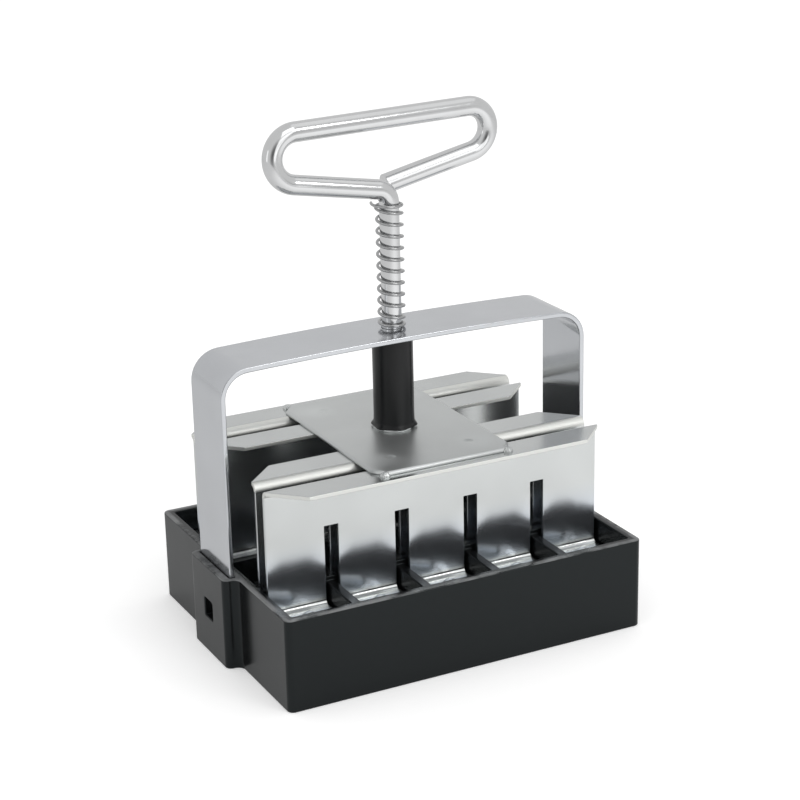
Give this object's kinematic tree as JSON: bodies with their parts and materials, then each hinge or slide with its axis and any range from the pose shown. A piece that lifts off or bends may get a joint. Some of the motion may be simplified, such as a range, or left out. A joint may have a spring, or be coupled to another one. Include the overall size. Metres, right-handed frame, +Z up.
{
  "type": "soil blocker",
  "caption": "Hand soil blocker: a block of open square cells on a steel strap, with a sprung loop-handled plunger whose folded sheets push the cubes out.",
  "frame": {"origin": "centre of the underside, on the foot of the wall between the two middle rows of cells", "axes": "+Z up along the rod, X along the cell block's long side, +Y to the rear of the pictured view"},
  "size_m": [0.127, 0.095, 0.1581],
  "materials": {
    "black_moulding": "black moulding, satin, glossier along its rims",
    "zinc_strap": "bright zinc plate over rolled steel strap",
    "spring_wire": "plated spring wire",
    "bright_rod": "bright nickel-like plate on drawn rod",
    "black_hose": "smooth black hose",
    "zinc_fastener": "zinc plated fasteners",
    "zinc_sheet": "satin zinc plated sheet with soft reflections",
    "weld_bead": "plated weld bead"
  },
  "bodies": {
    "mould": {"mould_tray": "black_moulding", "strap_handle": "zinc_strap", "return_spring": "spring_wire"},
    "plunger": {"loop_handle": "bright_rod", "spacer_sleeve": "black_hose", "thin_nut": "zinc_fastener", "lock_washer": "zinc_fastener", "bridge_plate": "zinc_sheet", "bridge_welds": "weld_bead", "ejector_front": "zinc_sheet", "ejector_mid_front": "zinc_sheet", "ejector_mid_rear": "zinc_sheet", "ejector_rear": "zinc_sheet", "seed_pins": "zinc_fastener", "plate_washer": "zinc_fastener", "rod_nut": "zinc_fastener"}
  },
  "joints": [
    {"name": "press", "type": "slide", "parent": "mould", "child": "plunger", "axis": [0, 0, -1], "range_m": [0, 0.018], "stiffness_N_per_m": 1600, "springref_m": -0.005, "deforming": ["return_spring"]}
  ]
}
